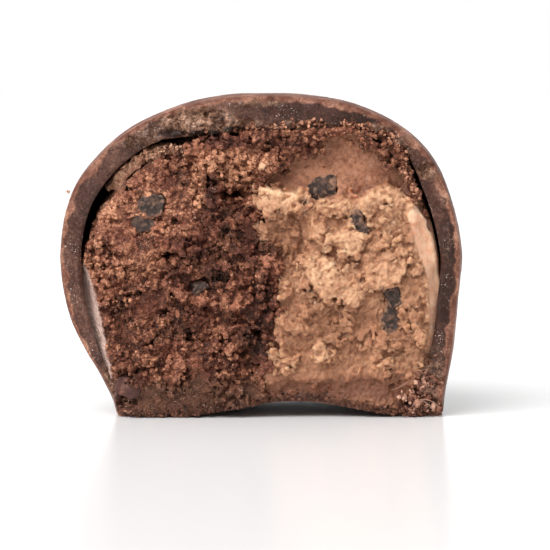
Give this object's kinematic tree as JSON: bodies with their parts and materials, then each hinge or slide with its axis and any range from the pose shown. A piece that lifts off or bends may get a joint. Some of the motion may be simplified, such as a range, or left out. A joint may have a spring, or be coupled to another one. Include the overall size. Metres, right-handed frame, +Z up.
{
  "type": "chocolate-covered brownie and cookie dough bite",
  "caption": "Domed chocolate-coated bite with a bite taken out of its front, showing brownie on one side, chocolate-chip cookie dough on the other and the thick coating wall.",
  "frame": {"origin": "on the table, under the middle of the bite's bounding box", "axes": "+Z up, +X to the cookie dough's side along the longest extent, -Y out of the bitten face"},
  "size_m": [0.0402, 0.0256, 0.032],
  "materials": {
    "coating": null,
    "brownie": "moist crumbly chocolate brownie, matt; matte_plastic stands in",
    "cookie_dough": "soft tan cookie dough, torn into lumps, slightly greasy; matte_plastic stands in",
    "chip": "dark chocolate chips, dusty where the bite broke them; matte_plastic stands in"
  },
  "bodies": {
    "root": {"coating": "coating", "coating_lip": "coating", "coating_flake": "coating", "brownie": "brownie", "cookie_dough": "cookie_dough", "dough_chip_top": "chip", "dough_chip_middle": "chip", "dough_chip_side": "chip", "dough_chip_low": "chip", "brownie_chunk_top": "chip", "brownie_chunk_upper": "chip", "brownie_chunk_middle": "chip"}
  },
  "joints": []
}
